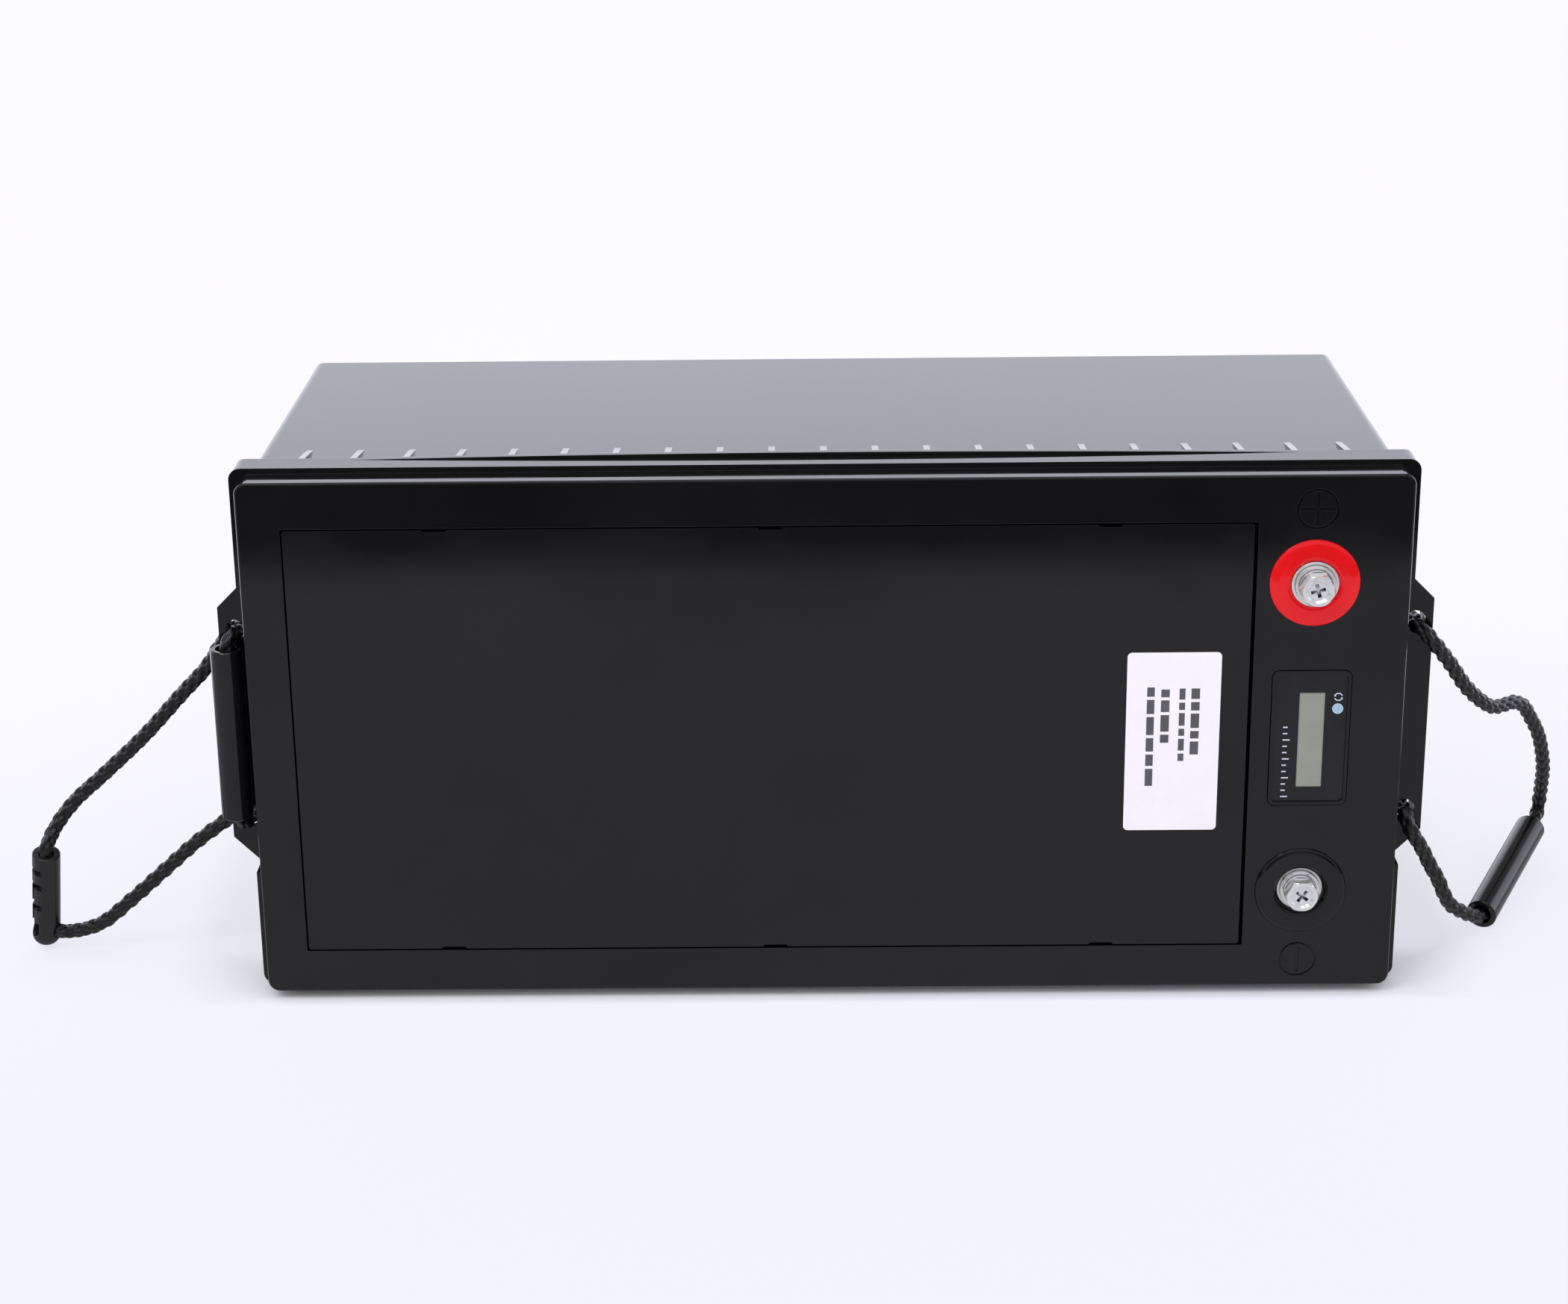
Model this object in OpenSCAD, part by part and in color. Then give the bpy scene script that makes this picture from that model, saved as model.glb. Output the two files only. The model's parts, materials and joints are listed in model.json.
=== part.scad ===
// Deep cycle battery lying on its long side, with the cover facing -Y.
// Frame: X runs along the case, Y from the cover to the case base, Z up.
// The origin is in the middle of the rim edge that the battery rests on,
// halfway through the depth of the cover's skirt.

/* [Case] */
// Length over the two rope lugs
overall_length = 522; // [516:1:528]
// Length of the rim
rim_length = 500; // [496:1:502]
// Width of the rim
rim_width = 238.5; // [237:0.5:240]
// Height from the cover's face to the case base
overall_height = 218; // [214:1:224]
// Height of the cover block that stands proud of the rim
cover_rise = 13.6; // [12:0.2:16]
// Height of the cover's skirt
skirt_height = 11.5; // [11:0.5:12]
// Thickness of the container's lip and lugs
lip = 3; // [2.8:0.1:3.4]
// Thickness of the container's walls
wall = 3.2; // [2.8:0.1:3.4]
// How far the lip bows out in the middle of the upper long side
lip_bow = 1.7; // [0:0.1:2.5]
// Ribs under the lip on each long side
rib_count = 21; // [15:1:21]
// Spacing of those ribs
rib_pitch = 22.3; // [18:0.1:22.3]

/* [Cover] */
// Length of the inset panel
panel_length = 406.3; // [400:0.1:408]
// Width of the inset panel
panel_width = 192.2; // [185:0.1:193]
// Gap all round the inset panel
panel_gap = 0.8; // [0.6:0.1:1.4]
// Extra gap at the panel's terminal end
panel_end_gap = 0.8; // [0:0.1:1]
// Thickness of the inset panel
panel_thick = 1.8; // [1.4:0.1:2]
// Distance between the two terminals
terminal_spacing = 140.8; // [140:0.2:142]
// Diameter of the contact pads
pad_d = 19.8; // [19:0.2:21]

/* [Terminal bolts] */
// Diameter of the bolts
bolt_d = 8; // [8:M8]
// Size of their hexagon heads across the flats
head_flats = 13; // [12.5:0.1:13.5]
// Height of the heads
head_height = 5.8; // [5.3:0.1:6]
// Length of the bolts under the head
bolt_length = 20; // [18:1:20]

/* [Meter] */
// Size of the bezel along X
bezel_x = 33.4; // [33:0.1:34]
// Size of the bezel along Z
bezel_z = 61.3; // [60:0.1:62]
// Diameter of the display button
button_d = 4.7; // [4.4:0.1:4.8]

/* [Rope handles] */
// Diameter of the rope
rope_d = 6.4; // [6:0.1:6.6]
// Diameter of the holes in the lugs
lug_hole_d = 9; // [8.6:0.1:9.4]
// Distance between the two holes in a lug
lug_hole_spacing = 87.5; // [87:0.1:88]
// Outer diameter of the tube grips
tube_d = 13.8; // [13.4:0.1:13.9]
// Bore of the tube grips
tube_bore = 8.9; // [8.6:0.1:9.2]
// Length of the tube grips
tube_length = 78; // [76:0.5:78]
// Outer diameter of the slotted clamp grips
clamp_d = 12.4; // [12:0.1:12.6]
// Length of the slotted clamp grips
clamp_length = 50.5; // [50:0.5:51]

/* [Cells] */
// Thickness of one cell
cell_thick = 27; // [26:0.5:27]
// Width of one cell
cell_width = 148; // [140:1:150]
// Height of one cell
cell_height = 130; // [120:1:130]

/* [Hidden] */
$fn = 64;

// Planes across the depth, from the cover's face to the case base
rim_y = -skirt_height / 2;
lip_y = skirt_height / 2;
lip_back_y = lip_y + lip;
face_y = rim_y - cover_rise;
base_y = face_y + overall_height;
cover_plate = 4.2;
cover_inner_y = face_y + cover_plate;
base_inner_y = base_y - 4;

// Outlines seen from the cover side
half_rim = rim_length / 2;
mid_z = rim_width / 2;
rim_r = 5;
block_half = half_rim - 4.2;
block_inset = 2.5;
wall_half_top = half_rim - 4;
wall_half_base = wall_half_top - 1.7;
seal_half = half_rim - 4.8;
cavity_half = half_rim - 10;
wall_inset_top = 6.7;
wall_inset_base = 8.6;
wall_r = 5.5;
edge = 0.9;

// Lugs at the two ends
lug_x = overall_length / 2;
lug_hole_x = half_rim + 3.3;
lug_low = 66;
lug_high = 173;
lug_return_y = lip_back_y + 11.9;
notch_low = 54;
notch_high = 185;
notch_x = half_rim - 4;
upper_hole_z = mid_z + lug_hole_spacing / 2;
lower_hole_z = mid_z - lug_hole_spacing / 2;

// Inset panel
panel_x0 = -226.8;
panel_x1 = panel_x0 + panel_length;
panel_z0 = 22.8;
panel_z1 = panel_z0 + panel_width;
panel_back_y = face_y + panel_thick;
adhesive_thick = 0.2;
recess_y = panel_back_y + adhesive_thick;
pry_notches = [-163, -22.5, 119.5];

// Terminals
terminal_x = 205.4;
positive_z = mid_z + terminal_spacing / 2 - 0.8;
negative_z = mid_z - terminal_spacing / 2 - 0.8;
positive_pad_y = face_y - 2;
negative_pad_y = face_y + 2;
positive_ring_d = 38.1;
negative_ring_d = 39.2;
ring_seat = 1.5;
pad_thick = 3.5;
post_d = 16;
boss_d = 46;
boss_y = cover_inner_y + 4;
nut_thick = 6;
play = 0.15;
flat_washer_thick = 1.6;
spring_washer_thick = 2.1;
washer_bore = 8.4;
thread_play = 0.05;

// Meter
meter_x = 206.3;
meter_z = mid_z - 0.4;
meter_front_y = face_y - 0.3;
overlay_y = meter_front_y + 0.9;
overlay_thick = 0.8;
frame_w = 1.3;
lcd = [201.4, 96.1, 212.4, 139.3];
button_x = 217.8;
button_z = 132.1;
board_y = overlay_y + 5;

// Cell block
cell_gap = 0.4;
spacer = 1;
cells_per_group = 4;
groups = 4;
group_length = cells_per_group * cell_thick + (cells_per_group - 1) * cell_gap;
block_length = groups * group_length + (groups - 1) * spacer;
block_x0 = -block_length / 2;
base_pad_thick = 2;
cell_base_y = base_inner_y - base_pad_thick;
cell_top_y = cell_base_y - cell_height;
cell_z0 = mid_z - cell_width / 2;
cell_z1 = mid_z + cell_width / 2;
post_offset = 50;
cell_post_h = 3;
busbar_y = cell_top_y - cell_post_h - 2;
plate = 4;
strap = 0.8;

// Battery management board
tray_y = 50;
bms_x0 = -185;
bms_x1 = -45;
bms_z0 = 60;
bms_z1 = 178;
bms_y = 44;
bms_screw_spots = [[-178, 68], [-178, 170], [-52, 68], [-52, 170]];

// Rope routes: each starts and ends on its lug hole or in its grip
tube_x = -257;
tube_y = -1.6;
tube_z0 = 79;
pivot_swell = 0.4;
clamp_base = [-355.6, 33.6, 3.2];
clamp_top = [-348.9, 21.8, 51.9];
right_tube_near = [297.3, 37.6, 9.4];
right_tube_far = [333.4, 107, 22.5];
hidden_clamp = [253.6, 28.4, 94];

left_inner_route = [
    [-254.33, 22.05, 160.25], [-253.5, 17.5, 161.7], [-253.3, 12.3, 162], [-253.3, 8.6, 162],
    [-253.6, 4, 162.2], [-254.8, 0, 161.2], [-256.6, -1.6, 157.6],
    [-257, -1.6, 150], [-257, -1.6, 134], [-257, -1.6, 118], [-257, -1.6, 101],
    [-256.9, -1.6, 84], [-256.2, -1, 77.6], [-254.6, 2, 74.8], [-253.3, 8.6, 74.5],
    [-253.3, 12.3, 74.5], [-253.5, 17.5, 74.4], [-254.24, 21.55, 73.87]
];
left_upper_route = [
    [-256.5, 24.9, 157.9], [-258.4, 26.4, 156.1], [-264.6, 27.8, 148.5], [-272, 28.4, 137.5],
    [-284, 30, 124.5], [-303, 33, 103.5], [-323.5, 34.5, 84], [-337, 32.5, 72], [-345.4, 27.6, 61.4],
    [-348.6, 21.3, 53.8], [-351, 25.4, 37]
];
left_lower_route = [
    [-354.5, 31.7, 10.9], [-347.6, 30.2, 9.6], [-339, 30.4, 10], [-328.5, 30.2, 13.7],
    [-313.5, 29.4, 26], [-298, 28.8, 40], [-283, 28.4, 53.5], [-272, 28, 62],
    [-264, 27.6, 67.6], [-258.4, 26.4, 71.2], [-256.5, 24.9, 72.3]
];
right_front_route = [
    [253.3, 2.2, 162], [256, -1.5, 160.6], [260.8, -0.5, 155], [270.2, 8, 142],
    [279.4, 18, 128], [288.5, 28, 117.5], [296.6, 38, 110.5], [303, 46, 108.4],
    [309.4, 54, 106.6], [315.4, 62, 101.8], [320.7, 70, 93.3], [326.7, 79, 82.4],
    [331.2, 88, 70.7], [335, 98, 57.6], [337.8, 110, 43.5], [339.2, 117.5, 33],
    [338.8, 117.8, 26.6], [336.4, 112.8, 23.6], [333.4, 107, 22.5], [321.4, 83.9, 18.1],
    [309.3, 60.7, 13.8], [297.3, 37.6, 9.4], [290, 29, 13.6], [284, 23, 18.6],
    [279, 18.5, 23.4], [274.7, 14, 31.2], [271, 10.5, 39.7], [266.4, 7, 48],
    [262.5, 3.6, 56], [258.2, 0, 63.6], [254.6, -1.2, 69.8], [253.3, 2.2, 74.5]
];
right_upper_route = [
    [253.3, 5.9, 162], [253.3, 11, 161.8], [253.3, 17, 160.5], [253.4, 22.8, 157.2],
    [253.6, 26.9, 152.4], [253.6, 28.4, 146.5], [253.6, 28.4, 141], [253.6, 28.4, 136]
];
right_lower_route = [
    [253.6, 28.4, 98], [253.6, 28.4, 86], [253.6, 26.2, 79.2], [253.4, 20, 75.6],
    [253.3, 12, 74.5], [253.3, 5.9, 74.5]
];

// Internal cable routes
positive_cable_route = [
    [165, 57.6, 169.25], [165, 48, 169.25], [171, 37, 172], [184, 25, 178], [198, 15, 185],
    [205.4, 6, 188.85], [205.4, -1.8, 188.85]
];
negative_cable_route = [
    [-203, 57.6, 169], [-203, 44, 169], [-200, 34, 167], [-191, 27, 162], [-179, 26, 157],
    [-172, 33, 155], [-172, 43.9, 155]
];
bms_cable_route = [
    [-60, 43.9, 80], [-60, 32, 80], [-48, 22, 78], [0, 18, 70], [60, 17, 60], [120, 18, 52],
    [170, 20, 49], [195, 18, 48], [205.4, 11, 48.05], [205.4, 2.2, 48.05]
];
meter_lead_route = [
    [206.3, -9.2, 112], [206.3, -1, 112], [190, 9, 113], [130, 13, 118], [60, 14, 124], [0, 16, 132],
    [-42, 22, 140], [-58, 28, 144], [-60, 34, 144], [-60, 39.9, 144]
];

// ---------- Helpers ----------

// Extrudes an outline drawn in X and Z from depth y0 to depth y1
module prism(y0, y1) {
    translate([0, y1, 0])
        rotate([90, 0, 0])
            linear_extrude(y1 - y0)
                children();
}

// Round bar or hole along Y
module bar(x, z, y0, y1, d) {
    translate([x, y0, z])
        rotate([-90, 0, 0])
            cylinder(d = d, h = y1 - y0);
}

module round_rect(x0, z0, x1, z1, r) {
    translate([x0 + r, z0])
        square([x1 - x0 - 2 * r, z1 - z0]);
    translate([x0, z0 + r])
        square([x1 - x0, z1 - z0 - 2 * r]);
    for (x = [x0 + r, x1 - r], z = [z0 + r, z1 - r])
        translate([x, z])
            circle(r);
}

// The same outline, centred on a point
module centred_rect(x, z, w, h, r) {
    round_rect(x - w / 2, z - h / 2, x + w / 2, z + h / 2, r);
}

module hexagon(flats) {
    circle(d = flats / cos(30), $fn = 6);
}

module box(low, high) {
    translate(low)
        cube(high - low);
}

// Places its children with their +Z along the line from a to b, turned about it by spin
module along(a, b, spin = 0) {
    d = b - a;
    translate(a)
        rotate([0, acos(d.z / norm(d)), atan2(d.y, d.x)])
            rotate([0, 0, spin])
                children();
}

function unit(v) = v / norm(v);
function tangent(p, i) = unit(p[min(i + 1, len(p) - 1)] - p[max(i - 1, 0)]);
function across(t, n) = unit(n - (n * t) * t);
function frames(p, n, i = 0) =
    i == len(p) ? [] :
    let (m = across(tangent(p, i), n))
    concat([m], frames(p, m, i + 1));

// Round tube of diameter d along a route, with a flat end at each end
module sweep(route, d, sides = 10) {
    first = across(tangent(route, 0), abs(tangent(route, 0).x) > 0.8 ? [0, 0, 1] : [1, 0, 0]);
    up = frames(route, first);
    points = [
        for (i = [0:len(route) - 1], k = [0:sides - 1])
            let (v = cross(tangent(route, i), up[i]), a = 360 * k / sides)
            route[i] + d / 2 * (cos(a) * up[i] + sin(a) * v)
    ];
    walls = [
        for (i = [0:len(route) - 2], k = [0:sides - 1])
            let (a = i * sides + k, b = i * sides + (k + 1) % sides)
            [a, a + sides, b + sides, b]
    ];
    last = (len(route) - 1) * sides;
    ends = [[for (k = [0:sides - 1]) k], [for (k = [sides - 1:-1:0]) last + k]];
    polyhedron(points, concat(walls, ends));
}

// ---------- Case ----------

// Outline of the container's wall between two depths, shrunk by t
module draft_block(y0, y1, t) {
    slice = 0.05;
    hull() {
        prism(y0, y0 + slice)
            round_rect(-wall_half_top + t, wall_inset_top + t, wall_half_top - t,
                rim_width - wall_inset_top - t, wall_r - t / 2, $fn = 32);
        prism(y1 - slice, y1)
            round_rect(-wall_half_base + t, wall_inset_base + t, wall_half_base - t,
                rim_width - wall_inset_base - t, wall_r - t / 2, $fn = 32);
    }
}

module lip_outline() {
    bow_half = 200;
    round_rect(-half_rim, 0, half_rim, rim_width, rim_r);
    polygon(concat(
        [for (x = [-bow_half:20:bow_half]) [x, rim_width + lip_bow * (1 - pow(x / bow_half, 2))]],
        [[bow_half, mid_z], [-bow_half, mid_z]]));
}

module lug_outline() {
    chamfer = lug_x - half_rim;
    polygon([
        [wall_half_top - 2, lug_low - chamfer], [half_rim, lug_low - chamfer], [lug_x, lug_low],
        [lug_x, lug_high], [half_rim, lug_high + chamfer], [wall_half_top - 2, lug_high + chamfer]
    ]);
}

// One tapering rib under the lip on the upper long side
module rib(x) {
    rib_w = 2.9;
    rib_y = 44.8;
    rib_h = 5.4;
    z = rim_width - wall_inset_top;
    translate([x - rib_w / 2, 0, 0])
        rotate([90, 0, 90])
            linear_extrude(rib_w)
                polygon([[lip_y + 1, z - 2], [lip_y + 1, z + rib_h], [rib_y, z - 0.35], [rib_y, z - 2]]);
}

module container() {
    color([0.05, 0.05, 0.055])
        difference() {
            union() {
                prism(lip_y, lip_back_y)
                    lip_outline();
                draft_block(lip_y + 0.2, base_y, 0);
                for (side = [0, 1])
                    mirror([side, 0, 0]) {
                        prism(lip_y, lip_back_y)
                            lug_outline();
                        box([lug_x - lip, lip_y, lug_low + 5], [lug_x, lug_return_y, lug_high - 5]);
                    }
                for (i = [0:rib_count - 1]) {
                    x = (i - (rib_count - 1) / 2) * rib_pitch;
                    rib(x);
                    translate([0, 0, rim_width])
                        mirror([0, 0, 1])
                            rib(x);
                }
            }
            draft_block(lip_y - 1, base_inner_y, wall);
            for (side = [-1, 1], z = [lower_hole_z, upper_hole_z])
                bar(side * lug_hole_x, z, lip_y - 1, lip_back_y + 1, lug_hole_d);
        }
}

module panel_recess_outline() {
    round_rect(panel_x0 - panel_gap, panel_z0 - panel_gap, panel_x1 + panel_gap + panel_end_gap,
        panel_z1 + panel_gap, 0.7);
}

// Inset panel with shallow notches along its two long edges, where a tool can lift it
module panel_outline() {
    mouth = 10.8;
    floor_w = 9.4;
    depth = 0.9;
    difference() {
        round_rect(panel_x0, panel_z0, panel_x1, panel_z1, 1.2);
        for (x = pry_notches, side = [0, 1])
            translate([x, side == 0 ? panel_z0 : panel_z1])
                mirror([0, side])
                    polygon([
                        [-mouth / 2, -1], [-mouth / 2, 0], [-floor_w / 2, depth],
                        [floor_w / 2, depth], [mouth / 2, 0], [mouth / 2, -1]
                    ]);
    }
}

// Engraved circle with bars across it
module engraved_sign(z, d, arms, arm_length) {
    line = 1;
    depth = 0.7;
    arm_w = 1.6;
    difference() {
        bar(terminal_x, z, face_y - 1, face_y + depth, d);
        bar(terminal_x, z, face_y - 2, face_y + depth + 1, d - 2 * line);
    }
    for (i = [0:arms - 1])
        translate([terminal_x, face_y, z])
            rotate([0, 90 * i, 0])
                cube([arm_w, 2 * depth, arm_length], center = true);
}

module cover() {
    inner_z = wall_inset_top + wall;
    color([0.05, 0.05, 0.055])
        difference() {
            union() {
                difference() {
                    prism(rim_y, lip_y)
                        round_rect(-half_rim, 0, half_rim, rim_width, rim_r);
                    for (side = [-1, 1])
                        prism(rim_y - 1, lip_y + 1)
                            centred_rect(side * (notch_x + 10), mid_z, 20, notch_high - notch_low, 3);
                }
                hull() {
                    prism(face_y, face_y + 0.05)
                        round_rect(-block_half + edge, block_inset + edge, block_half - edge,
                            rim_width - block_inset - edge, rim_r - edge, $fn = 32);
                    prism(face_y + 0.3 * edge, face_y + 0.3 * edge + 0.05)
                        round_rect(-block_half + 0.3 * edge, block_inset + 0.3 * edge, block_half - 0.3 * edge,
                            rim_width - block_inset - 0.3 * edge, rim_r - 0.3 * edge, $fn = 32);
                    prism(face_y + edge, rim_y + 0.5)
                        round_rect(-block_half, block_inset, block_half, rim_width - block_inset,
                            rim_r, $fn = 32);
                }
            }
            difference() {
                prism(cover_inner_y, lip_y + 1)
                    round_rect(-cavity_half, inner_z, cavity_half, rim_width - inner_z, 4);
                for (z = [positive_z, negative_z])
                    bar(terminal_x, z, cover_inner_y - 1, boss_y, boss_d);
            }
            prism(lip_y - 1.2, lip_y + 1)
                seal_outline(0);
            prism(face_y - 1, recess_y)
                panel_recess_outline();
            bar(terminal_x, positive_z, face_y - 1, face_y + ring_seat, positive_ring_d + 0.2);
            bar(terminal_x, negative_z, face_y - 1, face_y + ring_seat, negative_ring_d + 0.2);
            bar(terminal_x, positive_z, face_y - 1, positive_pad_y + pad_thick, pad_d + 0.1);
            bar(terminal_x, negative_z, face_y - 1, negative_pad_y + pad_thick, pad_d + 0.1);
            for (z = [positive_z, negative_z])
                bar(terminal_x, z, face_y - 1, boss_y + 1, post_d + 0.1);
            prism(face_y - 1, cover_inner_y + 1)
                centred_rect(meter_x, meter_z, bezel_x + 0.7, bezel_z + 0.7, 3.35);
            engraved_sign(221.2, 17.8, 2, 14.5);
            engraved_sign(15.3, 16.4, 1, 12);
        }
}

// Groove for the seal, and the seal in it, which is smaller by the play
module seal_outline(play) {
    seal_wide = 2;
    low = wall_inset_top - 2.2 + play;
    ring = seal_wide - 2 * play;
    half = seal_half - play;
    difference() {
        round_rect(-half, low, half, rim_width - low, 5);
        round_rect(-half + ring, low + ring, half - ring, rim_width - low - ring, 3.2);
    }
}

module cover_seal() {
    color([0.25, 0.25, 0.25])
        prism(lip_y - 1.2, lip_y)
            seal_outline(0.05);
}

module inset_panel() {
    color([0.06, 0.06, 0.065])
        prism(face_y, panel_back_y)
            panel_outline();
}

module panel_adhesive() {
    color([0.75, 0.72, 0.6])
        prism(panel_back_y, recess_y)
            round_rect(panel_x0 + 2, panel_z0 + 2, panel_x1 - 2, panel_z1 - 2, 1);
}

module label() {
    color([0.95, 0.95, 0.95])
        prism(face_y - 0.15, face_y)
            round_rect(127.9, 76.9, 167.8, 158.3, 2);
}

// ---------- Terminals ----------

// Domed ring: a rounded shoulder at its outer edge, and an inner edge at height inner
module terminal_ring(z, d, crown, inner) {
    bore_r = pad_d / 2 + 0.1;
    r = d / 2;
    translate([terminal_x, face_y, z])
        rotate([90, 0, 0])
            rotate_extrude()
                polygon([
                    [bore_r, -ring_seat], [r, -ring_seat], [r, crown - 1.5], [r - 0.25, crown - 1],
                    [r - 0.8, crown - 0.6], [r - 1.7, crown - 0.35], [r - 4, crown - 0.1],
                    [bore_r + 1.8, crown], [bore_r + 0.9, (crown + inner) / 2 + 0.1], [bore_r, inner]
                ]);
}

module positive_ring() {
    color([0.85, 0.05, 0.06])
        terminal_ring(positive_z, positive_ring_d, 1.9, 1.5);
}

module negative_ring() {
    color([0.06, 0.06, 0.06])
        terminal_ring(negative_z, negative_ring_d, 1.7, -0.6);
}

// Contact pad with a post through the cover and a threaded bore
module terminal(z, pad_y) {
    end_y = pad_y + 19.5;
    bore_y = pad_y + 18;
    color([0.8, 0.8, 0.82])
        difference() {
            union() {
                bar(terminal_x, z, pad_y, pad_y + pad_thick, pad_d);
                bar(terminal_x, z, pad_y + pad_thick - 0.1, end_y, post_d);
            }
            bar(terminal_x, z, pad_y - 1, bore_y, bolt_d + 2 * thread_play);
        }
}

module positive_terminal() {
    terminal(positive_z, positive_pad_y);
}

module negative_terminal() {
    terminal(negative_z, negative_pad_y);
}

module terminal_nuts() {
    color([0.78, 0.7, 0.45])
        for (z = [positive_z, negative_z])
            prism(boss_y, boss_y + nut_thick)
                translate([terminal_x, z])
                    difference() {
                        hexagon(24);
                        circle(d = post_d);
                    }
}

module flat_washer(z, pad_y) {
    back_y = pad_y - play;
    color([0.82, 0.82, 0.84])
        difference() {
            bar(terminal_x, z, back_y - flat_washer_thick, back_y, 17);
            bar(terminal_x, z, back_y - flat_washer_thick - 1, back_y + 1, washer_bore);
        }
}

module spring_washer(z, pad_y) {
    back_y = pad_y - play - flat_washer_thick;
    split = 1;
    color([0.78, 0.78, 0.8])
        difference() {
            bar(terminal_x, z, back_y - spring_washer_thick, back_y, 14);
            bar(terminal_x, z, back_y - spring_washer_thick - 1, back_y + 1, washer_bore);
            translate([terminal_x, back_y - spring_washer_thick / 2, z])
                rotate([0, 35, 0])
                    translate([5.5, 0, 0])
                        cube([8, spring_washer_thick + 1, split], center = true);
        }
}

// Hexagon bolt with a shallow bowl and a cross recess in its head, turned by cross_turn
module bolt(z, pad_y, cross_turn) {
    head_back = pad_y - 2 * play - flat_washer_thick - spring_washer_thick;
    head_front = head_back - head_height;
    cross_w = 1.5;
    cross_length = 6.2;
    color([0.85, 0.85, 0.87])
        difference() {
            union() {
                intersection() {
                    prism(head_front, head_back)
                        translate([terminal_x, z])
                            hexagon(head_flats);
                    translate([terminal_x, head_back, z])
                        rotate([90, 0, 0])
                            cylinder(r1 = head_flats / 2 + 4, r2 = head_flats / 2 + 0.1, h = head_height);
                }
                bar(terminal_x, z, head_back - 0.1, head_back + bolt_length, bolt_d);
            }
            translate([terminal_x, head_front - 0.01, z])
                rotate([-90, 0, 0])
                    cylinder(d1 = head_flats - 2.5, d2 = head_flats - 4.5, h = 1);
            for (turn = [cross_turn, cross_turn + 90])
                translate([terminal_x, head_front + 1.6, z])
                    rotate([0, turn, 0])
                        cube([cross_length, 3.4, cross_w], center = true);
        }
}

module positive_flat_washer() {
    flat_washer(positive_z, positive_pad_y);
}

module negative_flat_washer() {
    flat_washer(negative_z, negative_pad_y);
}

module positive_spring_washer() {
    spring_washer(positive_z, positive_pad_y);
}

module negative_spring_washer() {
    spring_washer(negative_z, negative_pad_y);
}

module positive_bolt() {
    bolt(positive_z, positive_pad_y, -15);
}

module negative_bolt() {
    bolt(negative_z, negative_pad_y, 38);
}

// ---------- Meter ----------

module meter_bezel() {
    back_y = meter_front_y + 10.3;
    color([0.04, 0.04, 0.045])
        difference() {
            prism(meter_front_y, back_y)
                centred_rect(meter_x, meter_z, bezel_x, bezel_z, 3);
            prism(meter_front_y - 1, overlay_y + overlay_thick)
                centred_rect(meter_x, meter_z, bezel_x - 2 * frame_w, bezel_z - 2 * frame_w, 2);
            prism(meter_front_y - 1, back_y - 1.5)
                centred_rect(meter_x, meter_z, bezel_x - 5.2, bezel_z - 5.2, 1.2);
            bar(meter_x, 112, back_y - 3, back_y + 1, 3.6);
        }
}

module meter_window() {
    color([0.02, 0.02, 0.025])
        difference() {
            prism(overlay_y, overlay_y + overlay_thick)
                centred_rect(meter_x, meter_z, bezel_x - 2 * frame_w - 0.1, bezel_z - 2 * frame_w - 0.1, 1.95);
            prism(overlay_y - 1, overlay_y + overlay_thick + 1)
                round_rect(lcd[0], lcd[1], lcd[2], lcd[3], 0.4);
            bar(button_x, button_z, overlay_y - 1, overlay_y + overlay_thick + 1, button_d + 0.6);
        }
}

module meter_lcd() {
    margin = 0.1;
    color([0.55, 0.6, 0.55])
        prism(overlay_y + 0.35, board_y)
            round_rect(lcd[0] + margin, lcd[1] + margin, lcd[2] - margin, lcd[3] - margin, 0.3);
}

module meter_board() {
    switch_y = overlay_y + 3.9;
    color([0.1, 0.35, 0.15]) {
        prism(board_y, board_y + 1.6)
            centred_rect(meter_x, meter_z, bezel_x - 6.6, bezel_z - 6.6, 0.9);
        box([button_x - 2.5, switch_y, button_z - 3], [button_x + 1.5, board_y + 0.1, button_z + 3]);
    }
}

module meter_button() {
    cap_y = overlay_y - 0.2;
    flange_y = overlay_y + overlay_thick + 0.1;
    color([0.55, 0.75, 0.9]) {
        bar(button_x, button_z, cap_y, flange_y + 0.1, button_d);
        bar(button_x, button_z, flange_y, flange_y + 0.9, button_d - 0.9);
        bar(button_x, button_z, flange_y + 0.8, flange_y + 1.9, 2.2);
    }
}

module meter_lead() {
    color([0.5, 0.05, 0.05])
        sweep(meter_lead_route, 3, 8);
}

// ---------- Cells and pack ----------

module cell_group(i) {
    x0 = block_x0 + i * (group_length + spacer);
    color([0.15, 0.35, 0.65])
        for (k = [0:cells_per_group - 1]) {
            x = x0 + k * (cell_thick + cell_gap);
            prism(cell_top_y, cell_base_y)
                round_rect(x, cell_z0, x + cell_thick, cell_z1, 2);
            for (side = [-1, 1])
                bar(x + cell_thick / 2, mid_z + side * post_offset,
                    cell_top_y - cell_post_h, cell_top_y + 1, 12);
        }
}

module cell_spacers() {
    color([0.9, 0.9, 0.8])
        for (i = [1:groups - 1]) {
            x = block_x0 + i * (group_length + spacer) - spacer;
            box([x, cell_top_y, cell_z0], [x + spacer, cell_base_y, cell_z1]);
        }
}

module end_plate(side) {
    color([0.7, 0.72, 0.74])
        mirror([side < 0 ? 1 : 0, 0, 0])
            box([-block_x0, cell_top_y + 5, cell_z0], [-block_x0 + plate, cell_base_y, cell_z1]);
}

module end_plate_left() {
    end_plate(-1);
}

module end_plate_right() {
    end_plate(1);
}

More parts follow.
